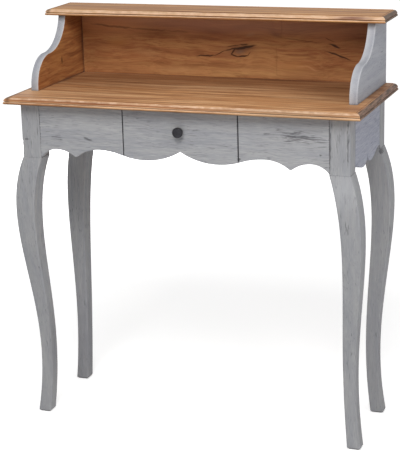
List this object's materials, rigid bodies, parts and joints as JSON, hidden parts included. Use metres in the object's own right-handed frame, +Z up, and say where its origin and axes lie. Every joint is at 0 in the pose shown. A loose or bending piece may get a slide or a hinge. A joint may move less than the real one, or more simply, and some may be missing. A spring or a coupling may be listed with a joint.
{
  "type": "writing desk",
  "caption": "Small writing desk with a raised gallery shelf, scrolled gallery sides, cabriole legs, scalloped aprons and a sliding drawer in the front.",
  "frame": {"origin": "on the floor under the middle of the desk's outer box", "axes": "+X to the right of a person facing the front, +Y to the back, +Z up"},
  "size_m": [0.8, 0.34, 0.92],
  "materials": {
    "waxed_wood": "planed and waxed",
    "painted_wood": "grey chalk paint, brushed on and rubbed back",
    "bare_wood": "planed, unfinished",
    "plywood": "sanded, unfinished",
    "iron": "blackened",
    "steel": "zinc plated"
  },
  "bodies": {
    "frame": {"apron_back": "painted_wood", "apron_front_left": "painted_wood", "apron_front_right": "painted_wood", "apron_side_left": "painted_wood", "apron_side_right": "painted_wood", "cleat_screw_back_left": "steel", "cleat_screw_back_right": "steel", "cleat_screw_front_left": "steel", "cleat_screw_front_right": "steel", "corner_block_back_left": "bare_wood", "corner_block_back_right": "bare_wood", "corner_block_front_left": "bare_wood", "corner_block_front_right": "bare_wood", "desktop": "waxed_wood", "desktop_cleat_left": "bare_wood", "desktop_cleat_right": "bare_wood", "drawer_kicker_left": "bare_wood", "drawer_kicker_right": "bare_wood", "drawer_partition_left": "bare_wood", "drawer_partition_right": "bare_wood", "drawer_runner_left": "bare_wood", "drawer_runner_right": "bare_wood", "drawer_stop": "bare_wood", "gallery_back": "waxed_wood", "gallery_shelf": "waxed_wood", "gallery_side_left": "painted_wood", "gallery_side_right": "painted_wood", "leg_back_left": "painted_wood", "leg_back_right": "painted_wood", "leg_front_left": "painted_wood", "leg_front_right": "painted_wood"},
    "drawer": {"drawer_front": "painted_wood", "drawer_side_left": "bare_wood", "drawer_side_right": "bare_wood", "drawer_back": "bare_wood", "drawer_bottom": "plywood", "drawer_knob": "iron", "drawer_knob_screw": "steel"}
  },
  "joints": [
    {"name": "drawer_slide", "type": "slide", "parent": "frame", "child": "drawer", "axis": [0, -1, 0], "range_m": [0, 0.19]}
  ]
}
